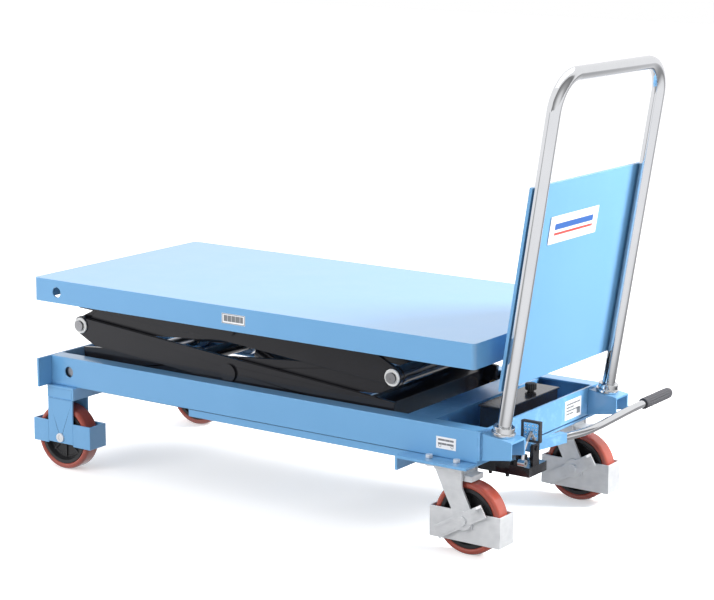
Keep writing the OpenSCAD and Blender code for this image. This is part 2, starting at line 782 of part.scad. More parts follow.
// One arm from its centre pivot: the base end at -X, the mid end at +X
module arm_outline(bend, base_bore, centre_bore, mid_bore) {
    base = [-arm_half * cos(bend), arm_half * sin(bend)];
    across = [sin(bend), cos(bend)];
    half = arm_depth / 2;
    knee = arm_half - arm_chamfer;
    difference() {
        union() {
            polygon([base + across * (arm_rise + arm_skew + half), [0, arm_rise + half],
                [arm_half, arm_rise - arm_skew + half], [arm_half + end_boss_d * 0.2, -end_boss_d * 0.45],
                [knee, arm_rise - arm_skew * knee / arm_half - half], [0, arm_rise - half],
                base + across * (arm_rise + arm_skew - half)]);
            translate(base) circle(d = end_boss_d);
            translate([arm_half, 0]) circle(d = end_boss_d);
        }
        translate(base) circle(d = base_bore);
        circle(d = centre_bore);
        translate([arm_half, 0]) circle(d = mid_bore);
    }
}

module lower_outer_arms() {
    color("black") both_sides() slab_y([outer_arm_y, outer_face]) translate([centre_x, lower_centre_z])
        rotate(-rest_angle) mirror([1, 0]) arm_outline(0, bush_d, bush_d, bush_d);
}

module lower_cross_box() {
    x1 = pivot_x - end_boss_d / 2 - 8;
    z0 = base_z - 15;
    z1 = base_z + 53;
    color("black") slab_y([-outer_arm_y, outer_arm_y]) difference() {
        polygon([[x1 - 36, z0], [x1, z0], [x1, z1 - 17], [x1 - 18, z1], [x1 - 36, z1]]);
        polygon([[x1 - 32, z0 + 4], [x1 - 4, z0 + 4], [x1 - 4, z1 - 19], [x1 - 20, z1 - 4],
            [x1 - 32, z1 - 4]]);
    }
}

module flanged_bush(x, z, gap) {
    ring_y(x, z, [outer_arm_y - bush_flange, outer_face], bush_d, pin_d + 2 * gap);
    ring_y(x, z, [outer_arm_y - bush_flange, outer_arm_y], bush_d + 8, bush_d);
}

module lower_arm_bushes() {
    color("goldenrod") both_sides() {
        ring_y(pivot_x, base_z, [outer_arm_y, outer_face], bush_d, pin_d + 2 * running_gap);
        flanged_bush(centre_x, lower_centre_z, running_gap);
        flanged_bush(roller_x, mid_z, running_gap);
    }
}

module lower_inner_arms() {
    color("black") both_sides() slab_y([inner_arm_y, inner_arm_y + arm_thickness])
        translate([centre_x, lower_centre_z]) rotate(rest_angle) difference() {
            union() {
                arm_outline(0, pin_d, pin_d, pin_d);
                translate([-ram_eye_reach, ram_eye_rise]) circle(d = ram_shaft_d + 18);
            }
            translate([-ram_eye_reach, ram_eye_rise]) circle(d = ram_shaft_d);
        }
}

module lower_cross_tubes() {
    side = inner_arm_y + arm_thickness;
    color("black") {
        ring_y(pivot_x, mid_z, [-inner_arm_y, inner_arm_y], cross_tube_d, pin_d);
        bar_y(ram_eye_x, ram_eye_z, [-side, side], ram_shaft_d);
    }
}

// A pin with a round head outside the outer arm
module headed_pin(x, z) {
    bar_y(x, z, [inner_arm_y - 6, outer_face + head_gap], pin_d);
    bar_y(x, z, [outer_face + head_gap, outer_face + head_gap + head_thickness], pin_head_d);
}

// A pin with a washer and a cap outside the outer arm
module capped_pin(x, z) {
    washer = outer_face + head_gap;
    bar_y(x, z, [inner_arm_y - 20, washer], pin_d);
    bar_y(x, z, [washer, washer + washer_thickness], washer_d);
    bar_y(x, z, [washer + washer_thickness, washer + washer_thickness + cap_height], cap_d);
}

module lower_pivot_pins() {
    color("dimgray") both_sides() {
        headed_pin(centre_x, lower_centre_z);
        capped_pin(pivot_x, mid_z);
    }
}

module lower_roller_shaft() {
    half = lower_roller_y + lower_roller_w + 1;
    color("silver") bar_y(roller_x, base_z, [-half, half], pin_d);
}

module lower_rollers() {
    color("dimgray") both_sides() ring_y(roller_x, base_z, [lower_roller_y, lower_roller_y + lower_roller_w],
        lower_roller_d, pin_d + 2 * running_gap);
}

module upper_inner_arms() {
    color("black") both_sides() slab_y([inner_arm_y, inner_arm_y + arm_thickness])
        translate([centre_x, upper_centre_z]) rotate(rest_angle) mirror([1, 0]) mirror([0, 1])
            arm_outline(arm_bend, pin_d, pin_d, pin_d);
}

module upper_cross_tube() {
    color("black") ring_y(roller_x, mid_z, [-inner_arm_y, inner_arm_y], cross_tube_d, pin_d);
}

module upper_pivot_pins() {
    color("dimgray") both_sides() {
        headed_pin(centre_x, upper_centre_z);
        capped_pin(roller_x, mid_z);
        bar_y(top_pivot_x, top_z, [inner_arm_y - 6, outer_arm_y + 12], pin_d);
    }
}

module upper_outer_arms() {
    color("black") both_sides() slab_y([outer_arm_y, outer_face]) translate([centre_x, upper_centre_z])
        rotate(-rest_angle) mirror([0, 1]) arm_outline(arm_bend, pin_d, bush_d, bush_d);
}

module upper_arm_bushes() {
    color("goldenrod") both_sides() {
        flanged_bush(centre_x, upper_centre_z, running_gap);
        flanged_bush(pivot_x, mid_z, open_pivot_gap);
    }
}

module upper_roller_shaft() {
    half = upper_roller_y + upper_roller_w + 2;
    color("silver") bar_y(top_roller_x, top_z, [-half, half], pin_d);
}

module upper_rollers() {
    side = [upper_roller_y, upper_roller_y + upper_roller_w];
    color("dimgray") both_sides() ring_y(top_roller_x, top_z, side, upper_roller_d, pin_d + 2 * running_gap);
}

// ---- Ram ----

// The ram's own frame: its lower pin at the origin, Z along the rod
module ram_axis() {
    translate([ram_base_x, 0, ram_base_z]) rotate([0, ram_angle - 90, 0]) children();
}

module ram_barrel() {
    half = ram_base_eye_w / 2;
    piston_bore = ram_barrel_d - 14;
    color("black") ram_axis() difference() {
        union() {
            bar_y(0, 0, [-half, half], ram_base_eye_d);
            translate([0, 0, 12]) cylinder(d = ram_base_eye_w, h = 20);
            translate([0, 0, 31]) cylinder(d = ram_barrel_d, h = ram_barrel_end - 31);
        }
        bar_y(0, 0, [-half - 1, half + 1], ram_base_pin_d + 2 * running_gap);
        translate([0, 0, 42]) cylinder(d = piston_bore, h = ram_barrel_end - 64);
        translate([0, 0, 42]) cylinder(d = ram_rod_d + 2 * running_gap, h = ram_barrel_end);
    }
}

module ram_rod() {
    half = ram_rod_eye_w / 2;
    piston_d2 = ram_barrel_d - 14 - 2 * running_gap;
    color("silver") ram_axis() difference() {
        union() {
            translate([0, 0, ram_rod_start]) cylinder(d = ram_rod_d, h = ram_length - ram_rod_start);
            translate([0, 0, ram_rod_start - 12]) cylinder(d = piston_d2, h = 24);
            translate([0, 0, ram_length]) bar_y(0, 0, [-half, half], ram_rod_eye_d);
        }
        translate([0, 0, ram_length]) bar_y(0, 0, [-half - 1, half + 1], ram_shaft_d + 2 * ram_eye_gap);
    }
}

// ---- Platform ----

module rounded_plate(length, width, r, h) {
    linear_extrude(h) {
        square([length, width - 2 * r], center = true);
        square([length - 2 * r, width], center = true);
        for (sx = [-1, 1], sy = [-1, 1])
            translate([sx * (length / 2 - r), sy * (width / 2 - r)]) circle(r);
    }
}

module deck() {
    inside = 2 * deck_sheet;
    half = platform_width / 2;
    color("steelblue") difference() {
        translate([0, 0, platform_height - skirt_height])
            rounded_plate(platform_length, platform_width, deck_corner_radius, skirt_height);
        translate([0, 0, platform_height - skirt_height - 1])
            rounded_plate(platform_length - inside, platform_width - inside,
                deck_corner_radius - deck_sheet, skirt_height - deck_sheet + 1);
        bar_y(top_roller_x, top_z, [-half - 1, half + 1], access_hole_d);
    }
}

module deck_ribs() {
    rib = 6;
    rib_z = [deck_underside - rib_depth, deck_underside];
    rib_x0 = centre_x - arm_half * 0.42;
    rib_x1 = platform_length / 2 - 130;
    short = inner_arm_y - 8;
    color("steelblue") {
        for (y = [-100, 94]) block([rib_x0, rib_x1], [y, y + rib], rib_z);
        for (x = [rib_x0 - rib, centre_x + 240]) block([x, x + rib], [-short, short], rib_z);
        block([rib_x1, rib_x1 + rib], [-short - 90, short + 90], rib_z);
        both_sides() difference() {
            block([top_pivot_x - 24, top_pivot_x + 24], [outer_arm_y, outer_arm_y + 10],
                [top_z - 22, deck_underside]);
            bar_y(top_pivot_x, top_z, [0, outer_arm_y + 20], pin_d + 2 * running_gap);
        }
    }
}

module roller_tracks() {
    track_x = [top_roller_x - 36, top_roller_x + 270];
    outer = upper_roller_y + upper_roller_w + 3;
    color("steelblue") both_sides() {
        block(track_x, [upper_roller_y - 2, outer + 3], [deck_underside - track_thickness, deck_underside]);
        block(track_x, [outer, outer + 3], [deck_underside - 24, deck_underside - track_thickness]);
    }
}

in_frame() side_rails();
in_frame() end_plates();
in_frame() front_wheel_beam();
in_frame() rear_caster_beam();
in_frame() rear_cross_beam();
in_frame() ram_cradle();
in_frame() base_pivot_pins();
in_frame() front_wheel_forks();
in_frame() front_toe_guards();
in_frame() front_axles();
in_frame() frame_bolts();
in_frame() handle_brackets();
in_frame() handle_collars();
in_frame() push_handle();
in_frame() handle_panel();
in_frame() oil_tank();
in_frame() tank_cap();
in_frame() pump_block();
in_frame() pump_piston();
in_frame() oil_hose();
in_frame() caster_top_plates();
in_frame() lower_outer_arms();
in_frame() lower_cross_box();
in_frame() lower_arm_bushes();
in_frame() lower_inner_arms();
in_frame() lower_cross_tubes();
in_frame() lower_pivot_pins();
in_frame() lower_roller_shaft();
in_frame() lower_rollers();
in_frame() upper_inner_arms();
in_frame() upper_cross_tube();
in_frame() upper_pivot_pins();
in_frame() upper_outer_arms();
in_frame() upper_arm_bushes();
in_frame() upper_roller_shaft();
in_frame() upper_rollers();
in_frame() deck();
in_frame() deck_ribs();
in_frame() roller_tracks();
in_frame() ram_barrel();
in_frame() ram_rod();
in_frame() lever_socket();
in_frame() lever_tube();
in_frame() lever_grip();
in_frame() release_pedal();
in_frame() release_pad();
in_frame() left_caster() caster_fork();  // left_caster_fork
in_frame() right_caster() caster_fork();  // right_caster_fork
in_frame() left_caster() caster_guard();  // left_caster_guard
in_frame() right_caster() caster_guard();  // right_caster_guard
in_frame() wheel_tyre(caster_wheel_x, -caster_y);  // left_caster_tyre
in_frame() wheel_tyre(caster_wheel_x, caster_y);  // right_caster_tyre
in_frame() wheel_core(caster_wheel_x, -caster_y);  // left_caster_core
in_frame() wheel_core(caster_wheel_x, caster_y);  // right_caster_core
in_frame() left_caster() brake_pedal();  // left_brake_pedal
in_frame() right_caster() brake_pedal();  // right_brake_pedal
in_frame() wheel_tyre(front_wheel_x, -front_wheel_y);  // left_front_tyre
in_frame() wheel_tyre(front_wheel_x, front_wheel_y);  // right_front_tyre
in_frame() wheel_core(front_wheel_x, -front_wheel_y);  // left_front_core
in_frame() wheel_core(front_wheel_x, front_wheel_y);  // right_front_core
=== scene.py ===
# %% [markdown]
# # A mobile double scissor lift table
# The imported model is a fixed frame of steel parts. This lesson gives each part its finish and adds
# the small pieces that a real table has: labels, weld beads, washers, ribs and rubber.
# Loading the frame first means that every later place can be read from the parts themselves.

# %% Load the frame
import json
import math
import bpy
import bmesh
from mathutils import Matrix, Vector


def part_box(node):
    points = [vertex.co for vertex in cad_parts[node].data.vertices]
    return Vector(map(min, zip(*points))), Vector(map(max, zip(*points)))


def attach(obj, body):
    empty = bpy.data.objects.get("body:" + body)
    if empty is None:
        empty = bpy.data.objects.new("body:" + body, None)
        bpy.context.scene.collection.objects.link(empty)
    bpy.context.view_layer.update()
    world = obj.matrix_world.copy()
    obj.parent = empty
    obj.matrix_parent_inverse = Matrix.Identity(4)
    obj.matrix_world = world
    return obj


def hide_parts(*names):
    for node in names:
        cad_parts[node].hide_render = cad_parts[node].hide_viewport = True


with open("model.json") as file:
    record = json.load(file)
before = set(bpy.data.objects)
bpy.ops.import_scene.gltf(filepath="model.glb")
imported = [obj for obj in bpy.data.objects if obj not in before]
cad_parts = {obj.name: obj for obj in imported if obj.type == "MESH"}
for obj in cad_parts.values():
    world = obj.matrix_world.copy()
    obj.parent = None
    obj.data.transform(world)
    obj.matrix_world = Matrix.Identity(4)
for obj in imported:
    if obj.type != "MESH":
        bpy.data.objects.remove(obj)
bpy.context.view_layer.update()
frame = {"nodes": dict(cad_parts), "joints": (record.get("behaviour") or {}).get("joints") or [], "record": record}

NODES = frame["nodes"]
SLOT_OF = {row["node"]: row["material_slot"] for row in frame["record"]["subparts"]}

# %% [markdown]
# The platform's middle is a handy origin for the camera, so it is read from the platform's box.
# The camera stands a little above the table, with a long lens that flattens the perspective the way
# a catalogue picture does.

# %% Camera
deck_low, deck_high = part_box("deck")
TABLE_MIDDLE = Vector(((deck_low.x + deck_high.x) / 2, (deck_low.y + deck_high.y) / 2, 0.0))
CAMERA_PLACE = TABLE_MIDDLE + Vector((2.733, -3.8555, 1.4062))
CAMERA_TURN = math.radians(34.23)
CAMERA_TILT = math.radians(11.57)
CAMERA_ROLL = math.radians(0.46)
SENSOR_MM, LENS_MM = 36, 104.26


def camera_matrix(place, turn, tilt, roll):
    back = Vector((math.sin(turn) * math.cos(tilt), -math.cos(turn) * math.cos(tilt), math.sin(tilt)))
    right = Vector((0, 0, 1)).cross(back).normalized()
    up = back.cross(right)
    rolled_right = math.cos(roll) * right + math.sin(roll) * up
    rolled_up = math.cos(roll) * up - math.sin(roll) * right
    turned = Matrix((rolled_right, rolled_up, back)).transposed().to_4x4()
    return Matrix.Translation(place) @ turned


camera_data = bpy.data.cameras.new("camera")
camera_data.sensor_width = SENSOR_MM
camera_data.lens = LENS_MM
camera_data.clip_end = 60
camera = bpy.data.objects.new("camera", camera_data)
camera.matrix_world = camera_matrix(CAMERA_PLACE, CAMERA_TURN, CAMERA_TILT, CAMERA_ROLL)
bpy.context.scene.collection.objects.link(camera)
bpy.context.scene.camera = camera
print("camera at", tuple(round(c, 3) for c in CAMERA_PLACE))

# %% [markdown]
# Steel and chrome look like steel only when they have something to reflect. The room is bright behind
# the table and darker on the viewer's side, so that chrome gets dark lines down its middle while the
# platform's top picks up a pale sheen. Rays that go straight to the eye see plain white, as on a
# catalogue page. The shade follows the angle between a ray and one direction across the room.

# %% Room around the table
WHITE = (1, 1, 1, 1)
ROOM_DARK_SIDE = (0.85, -0.53, -0.10)
ROOM_SHADES = ((0.0, 1.0), (0.56, 1.0), (0.62, 0.92), (0.66, 0.30), (0.70, 0.24), (0.80, 0.34),
               (0.88, 0.46), (0.95, 0.80), (1.0, 0.95))
ROOM_BLUE = 1.02

scene = bpy.context.scene
scene.view_settings.view_transform = "Standard"
world = bpy.data.worlds.new("studio")
scene.world = world
world.use_nodes = True
room = world.node_tree
backdrop = room.nodes["Background"]
backdrop.inputs["Color"].default_value = WHITE
walls = room.nodes.new("ShaderNodeBackground")
direction = room.nodes.new("ShaderNodeTexCoord")
side_of_room = room.nodes.new("ShaderNodeVectorMath")
side_of_room.operation = "DOT_PRODUCT"
side_of_room.inputs[1].default_value = ROOM_DARK_SIDE
shades = room.nodes.new("ShaderNodeValToRGB")
while len(shades.color_ramp.elements) < len(ROOM_SHADES):
    shades.color_ramp.elements.new(0.5)
for element, (place, shade) in zip(shades.color_ramp.elements, ROOM_SHADES):
    element.position = place
    element.color = (shade, shade, shade * ROOM_BLUE, 1)
half_turn = room.nodes.new("ShaderNodeMapRange")
half_turn.inputs["From Min"].default_value = -1.0
ray = room.nodes.new("ShaderNodeLightPath")
choose = room.nodes.new("ShaderNodeMixShader")
room.links.new(direction.outputs["Generated"], side_of_room.inputs[0])
room.links.new(side_of_room.outputs["Value"], half_turn.inputs["Value"])
room.links.new(half_turn.outputs["Result"], shades.inputs["Fac"])
room.links.new(shades.outputs["Color"], walls.inputs["Color"])
room.links.new(ray.outputs["Is Camera Ray"], choose.inputs["Fac"])
room.links.new(walls.outputs["Background"], choose.inputs[1])
room.links.new(backdrop.outputs["Background"], choose.inputs[2])
room.links.new(choose.outputs["Shader"], room.nodes["World Output"].inputs["Surface"])
print("room shades", len(ROOM_SHADES))

# %% [markdown]
# Three large soft lamps do the lighting: one over the platform, one in front of the long side and one
# behind the handle. The last two are kept out of reflections, because a bright rectangle in chrome or
# in glossy paint would give the lamp away.

# %% Lamps


def area_lamp(name, place, target, size, power):
    data = bpy.data.lights.new(name, "AREA")
    data.shape = "RECTANGLE"
    data.size, data.size_y = size
    data.energy = power
    lamp = bpy.data.objects.new(name, data)
    lamp.location = place
    lamp.rotation_euler = (Vector(target) - Vector(place)).to_track_quat("-Z", "Y").to_euler()
    scene.collection.objects.link(lamp)
    return lamp


area_lamp("top_softbox", (-0.3, 0.2, 3.2), (0, 0, 0.3), (3.2, 2.4), 29)
front_lamp = area_lamp("front_softbox", (-1.2, -3.6, 1.8), (0, 0, 0.4), (3.0, 1.6), 82)
handle_lamp = area_lamp("handle_softbox", (2.5, 1.9, 2.0), (0.6, 0, 0.6), (1.2, 1.2), 230)
front_lamp.visible_glossy = False
handle_lamp.visible_glossy = False

# %% [markdown]
# The floor is a pale plane that belongs to the stage and not to the table. It shows three faces, and
# the Light Path node picks one for each kind of ray: glowing paper for the eye, so that it melts into
# the white room, a stripe of light and dark for shiny parts to reflect, and dull grey for bounced light.

# %% Paper floor
FLOOR_SIZE = 30.0
FLOOR_ACROSS = (0.85, -0.53, 0)
FLOOR_SPAN = (-1.6, 2.4)
FLOOR_ENDS = ((0.18, 1.0), (0.52, 0.36))
FLOOR_SHADES = ((0.60, 0.32), (0.72, 0.9), (0.85, 1.0))
FLOOR_BLUE = 1.03


def paper_floor():
    material = bpy.data.materials.new("paper_floor")
    material.use_nodes = True
    tree = material.node_tree
    seen = tree.nodes["Principled BSDF"]
    seen.inputs["Base Color"].default_value = (0.86, 0.86, 0.86, 1)
    seen.inputs["Roughness"].default_value = 0.8
    seen.inputs["Specular IOR Level"].default_value = 0.1
    seen.inputs["Emission Color"].default_value = WHITE
    seen.inputs["Emission Strength"].default_value = 0.42
    bounced = tree.nodes.new("ShaderNodeBsdfDiffuse")
    bounced.inputs["Color"].default_value = (0.50, 0.50, 0.50, 1)
    mirrored = tree.nodes.new("ShaderNodeEmission")
    place = tree.nodes.new("ShaderNodeNewGeometry")
    across = tree.nodes.new("ShaderNodeVectorMath")
    across.operation = "DOT_PRODUCT"
    across.inputs[1].default_value = FLOOR_ACROSS
    reach = tree.nodes.new("ShaderNodeMapRange")
    reach.inputs["From Min"].default_value, reach.inputs["From Max"].default_value = FLOOR_SPAN
    shades = tree.nodes.new("ShaderNodeValToRGB")
    for element, (spot, shade) in zip(shades.color_ramp.elements, FLOOR_ENDS):
        element.position = spot
        element.color = (shade, shade, shade * FLOOR_BLUE, 1)
    for spot, shade in FLOOR_SHADES:
        extra = shades.color_ramp.elements.new(spot)
        extra.color = (shade, shade, shade * FLOOR_BLUE, 1)
    ray = tree.nodes.new("ShaderNodeLightPath")
    shiny, straight = tree.nodes.new("ShaderNodeMixShader"), tree.nodes.new("ShaderNodeMixShader")
    tree.links.new(place.outputs["Position"], across.inputs[0])
    tree.links.new(across.outputs["Value"], reach.inputs["Value"])
    tree.links.new(reach.outputs["Result"], shades.inputs["Fac"])
    tree.links.new(shades.outputs["Color"], mirrored.inputs["Color"])
    tree.links.new(ray.outputs["Is Glossy Ray"], shiny.inputs["Fac"])
    tree.links.new(bounced.outputs["BSDF"], shiny.inputs[1])
    tree.links.new(mirrored.outputs["Emission"], shiny.inputs[2])
    tree.links.new(ray.outputs["Is Camera Ray"], straight.inputs["Fac"])
    tree.links.new(shiny.outputs["Shader"], straight.inputs[1])
    tree.links.new(seen.outputs["BSDF"], straight.inputs[2])
    tree.links.new(straight.outputs["Shader"], tree.nodes["Material Output"].inputs["Surface"])
    return material


half = FLOOR_SIZE / 2
floor_mesh = bpy.data.meshes.new("floor")
floor_mesh.from_pydata([(-half, -half, 0), (half, -half, 0), (half, half, 0), (-half, half, 0)],
                       [], [(0, 1, 2, 3)])
floor_mesh.materials.append(paper_floor())
floor = bpy.data.objects.new("floor", floor_mesh)
scene.collection.objects.link(floor)
print("floor", FLOOR_SIZE, "m wide")

# %% [markdown]
# Several finishes share the same surface effects, so each effect is one node group. The first is a
# fine grain: two noises give a slow change of tone and a small bump, like the orange peel of powder
# coat. The second is brushing: noise stretched along one direction. The third is a painted highlight:
# a mask on raised edges, broken up by noise, that lightens the colour where light catches an edge.

# %% Shader node groups


def new_group(name, numbers, outputs):
    group = bpy.data.node_groups.new(name, "ShaderNodeTree")
    for label, value in numbers.items():
        socket = group.interface.new_socket(name=label, in_out="INPUT", socket_type="NodeSocketFloat")
        socket.default_value = value
    for label, kind in outputs.items():
        group.interface.new_socket(name=label, in_out="OUTPUT", socket_type=kind)
    start = group.nodes.new("NodeGroupInput")
    end = group.nodes.new("NodeGroupOutput")
    return group, start, end


def add_node(tree, kind, inputs=None, **settings):
    node = tree.nodes.new(kind)
    for key, value in settings.items():
        setattr(node, key, value)
    for key, value in (inputs or {}).items():
        node.inputs[key].default_value = value
    return node


def make_grain_group():
    group, start, end = new_group("surface_grain", {"Scale": 300.0, "Tone Scale": 9.0},
                                  {"Tone": "NodeSocketFloat", "Height": "NodeSocketFloat"})
    place = add_node(group, "ShaderNodeTexCoord")
    fine = add_node(group, "ShaderNodeTexNoise", {"Detail": 3.0, "Roughness": 0.55})
    slow = add_node(group, "ShaderNodeTexNoise", {"Detail": 4.0, "Roughness": 0.6})
    for noise, label in ((fine, "Scale"), (slow, "Tone Scale")):
        group.links.new(place.outputs["Object"], noise.inputs["Vector"])
        group.links.new(start.outputs[label], noise.inputs["Scale"])
    group.links.new(slow.outputs["Fac"], end.inputs["Tone"])
    group.links.new(fine.outputs["Fac"], end.inputs["Height"])
    return group


def make_brushed_group():
    group, start, end = new_group("brushed_lines", {"Along X": 4.0, "Along Y": 4.0, "Along Z": 160.0},
                                  {"Lines": "NodeSocketFloat", "Spangle": "NodeSocketFloat"})
    place = add_node(group, "ShaderNodeTexCoord")
    stretch = add_node(group, "ShaderNodeCombineXYZ")
    scaled = add_node(group, "ShaderNodeVectorMath", operation="MULTIPLY")
    lines = add_node(group, "ShaderNodeTexNoise", {"Scale": 6.0, "Detail": 5.0, "Roughness": 0.7})
    spangle = add_node(group, "ShaderNodeTexVoronoi", {"Scale": 55.0})
    for label, axis in (("Along X", "X"), ("Along Y", "Y"), ("Along Z", "Z")):
        group.links.new(start.outputs[label], stretch.inputs[axis])
    group.links.new(place.outputs["Object"], scaled.inputs[0])
    group.links.new(stretch.outputs["Vector"], scaled.inputs[1])
    group.links.new(scaled.outputs["Vector"], lines.inputs["Vector"])
    group.links.new(place.outputs["Object"], spangle.inputs["Vector"])
    group.links.new(lines.outputs["Fac"], end.inputs["Lines"])
    group.links.new(spangle.outputs["Distance"], end.inputs["Spangle"])
    return group


# Mask for a painted highlight: a lighter colour on raised edges, where light catches a rounded edge.
def make_edge_highlight_group():
    group, start, end = new_group("painted_edge_highlight", {"Reach": 0.02, "Patch Scale": 30.0},
                                  {"Mask": "NodeSocketFloat"})
    geometry = add_node(group, "ShaderNodeNewGeometry")
    place = add_node(group, "ShaderNodeTexCoord")
    patches = add_node(group, "ShaderNodeTexNoise", {"Detail": 6.0, "Roughness": 0.7})
    low = add_node(group, "ShaderNodeMath", {0: 0.56}, operation="SUBTRACT")
    edge = add_node(group, "ShaderNodeMapRange", {"From Max": 0.6})
    cut = add_node(group, "ShaderNodeMapRange", {"From Min": 0.5, "From Max": 0.62})
    both = add_node(group, "ShaderNodeMath", operation="MULTIPLY")
    group.links.new(place.outputs["Object"], patches.inputs["Vector"])
    group.links.new(start.outputs["Patch Scale"], patches.inputs["Scale"])
    group.links.new(start.outputs["Reach"], low.inputs[1])
    group.links.new(geometry.outputs["Pointiness"], edge.inputs["Value"])
    group.links.new(low.outputs["Value"], edge.inputs["From Min"])
    group.links.new(patches.outputs["Fac"], cut.inputs["Value"])
    group.links.new(edge.outputs["Result"], both.inputs[0])
    group.links.new(cut.outputs["Result"], both.inputs[1])
    group.links.new(both.outputs["Value"], end.inputs["Mask"])
    return group


GRAIN = make_grain_group()
BRUSHED = make_brushed_group()
EDGE_HIGHLIGHT = make_edge_highlight_group()
print("groups", [g.name for g in (GRAIN, BRUSHED, EDGE_HIGHLIGHT)])

# %% [markdown]
# A painted finish is two tones mixed by the slow noise, with a coat on top and the fine noise as bump.
# A metal finish is the same recipe with Metallic at one, so one function makes both, and the highlight
# mask lightens the edges with a painted highlight. Fixed numbers sit on the shader's own sockets.

# %% Recipe for a finish


def finish(name, dark, light, roughness, metallic=0.0, coat=0.0, grain=300.0, tone=9.0, bump=0.05,
           highlight_colour=None, brushing=None, spread=0.08, specular=0.5, subsurface=0.0, coat_roughness=0.08):
    material = bpy.data.materials.new(name)
    material.use_nodes = True
    tree = material.node_tree
    shader = tree.nodes["Principled BSDF"]
    shader.inputs["Metallic"].default_value = metallic
    shader.inputs["Coat Weight"].default_value = coat
    shader.inputs["Coat Roughness"].default_value = coat_roughness
    shader.inputs["Specular IOR Level"].default_value = specular
    shader.inputs["Subsurface Weight"].default_value = subsurface
    shader.inputs["Subsurface Radius"].default_value = (0.012, 0.004, 0.002)
    group = add_node(tree, "ShaderNodeGroup", node_tree=GRAIN)
    group.inputs["Scale"].default_value = grain
    group.inputs["Tone Scale"].default_value = tone
    tone_out, height_out = group.outputs["Tone"], group.outputs["Height"]
    if brushing:
        lines = add_node(tree, "ShaderNodeGroup", node_tree=BRUSHED)
        for label, value in zip(("Along X", "Along Y", "Along Z"), brushing):
            lines.inputs[label].default_value = value
        blend = add_node(tree, "ShaderNodeMath", operation="MULTIPLY")
        tree.links.new(lines.outputs["Lines"], blend.inputs[0])
        tree.links.new(lines.outputs["Spangle"], blend.inputs[1])
        tone_mix = add_node(tree, "ShaderNodeMath", operation="ADD")
        tree.links.new(blend.outputs["Value"], tone_mix.inputs[0])
        tree.links.new(tone_out, tone_mix.inputs[1])
        tone_out, height_out = tone_mix.outputs["Value"], lines.outputs["Lines"]
    colours = add_node(tree, "ShaderNodeMix", data_type="RGBA")
    colours.inputs["A"].default_value = (*dark, 1)
    colours.inputs["B"].default_value = (*light, 1)
    tree.links.new(tone_out, colours.inputs["Factor"])
    colour_out = colours.outputs["Result"]
    # Painted highlight: a lighter tint of the finish mixed in on raised edges.
    if highlight_colour:
        mask = add_node(tree, "ShaderNodeGroup", node_tree=EDGE_HIGHLIGHT)
        highlighted = add_node(tree, "ShaderNodeMix", data_type="RGBA")
        highlighted.inputs["B"].default_value = (*highlight_colour, 1)
        tree.links.new(colour_out, highlighted.inputs["A"])
        tree.links.new(mask.outputs["Mask"], highlighted.inputs["Factor"])
        colour_out = highlighted.outputs["Result"]
    rough = add_node(tree, "ShaderNodeMapRange", {"To Min": roughness - spread, "To Max": roughness + spread})
    height = add_node(tree, "ShaderNodeBump", {"Strength": bump, "Distance": 0.0006})
    tree.links.new(tone_out, rough.inputs["Value"])
    tree.links.new(height_out, height.inputs["Height"])
    tree.links.new(colour_out, shader.inputs["Base Color"])
    tree.links.new(rough.outputs["Result"], shader.inputs["Roughness"])
    tree.links.new(height.outputs["Normal"], shader.inputs["Normal"])
    return material


print("one recipe for", len(set(SLOT_OF.values())), "slots of the CAD parts")

# %% [markdown]
# Each finish is a darker tone, a lighter tone and a roughness. The tones of one finish lie close
# together, because a new machine has even paint. Polyurethane lets some light in, so it has a little
# subsurface, and zinc is half metal and half grey, which is how plated steel looks under soft light.

# %% Finishes
# The lighter third colour given to blue paint, black paint and black plastic is a painted highlight on raised
# edges.
blue_paint = finish("blue_paint", (0.130, 0.350, 0.62), (0.150, 0.380, 0.66), 0.38, coat=0.9, grain=420,
                    bump=0.06, highlight_colour=(0.22, 0.47, 0.78), coat_roughness=0.16)
black_paint = finish("black_paint", (0.006, 0.006, 0.008), (0.013, 0.013, 0.016), 0.22, coat=0.4, grain=260,
                     bump=0.08, highlight_colour=(0.05, 0.05, 0.055), specular=0.45)
chrome = finish("chrome", (0.70, 0.71, 0.72), (0.80, 0.81, 0.815), 0.07, metallic=1.0, grain=120, bump=0.008,
                spread=0.03)
zinc_plate = finish("zinc_plate", (0.68, 0.70, 0.72), (0.86, 0.875, 0.89), 0.34, metallic=0.5, bump=0.05,
                    tone=14, brushing=(5, 5, 40), spread=0.10)
turned_steel = finish("turned_steel", (0.36, 0.36, 0.37), (0.52, 0.52, 0.53), 0.27, metallic=1.0,
                      brushing=(90, 4, 90), bump=0.14)
bronze = finish("bronze", (0.36, 0.22, 0.09), (0.52, 0.34, 0.14), 0.4, metallic=1.0, grain=500, bump=0.1)
black_plastic = finish("black_plastic", (0.012, 0.012, 0.013), (0.030, 0.030, 0.032), 0.42, grain=900,
                       bump=0.18, highlight_colour=(0.07, 0.07, 0.072))
black_rubber = finish("black_rubber", (0.030, 0.030, 0.033), (0.050, 0.050, 0.054), 0.62, grain=700, bump=0.3)
grip_rubber = finish("grip_rubber", (0.052, 0.052, 0.058), (0.078, 0.078, 0.085), 0.55, grain=800, bump=0.25)
red_polyurethane = finish("red_polyurethane", (0.28, 0.050, 0.032), (0.42, 0.090, 0.060), 0.24, coat=0.5,
                          grain=200, tone=14, bump=0.04, subsurface=0.25)
white_nylon = finish("white_nylon", (0.74, 0.74, 0.72), (0.84, 0.84, 0.82), 0.38, grain=500, bump=0.06)
LABEL_FILM = {"coat": 0.3, "grain": 60, "bump": 0.01}
label_white = finish("label_white", (0.80, 0.80, 0.81), (0.88, 0.88, 0.89), 0.3, **LABEL_FILM)
label_blue = finish("label_blue", (0.02, 0.10, 0.36), (0.03, 0.13, 0.42), 0.3, **LABEL_FILM)
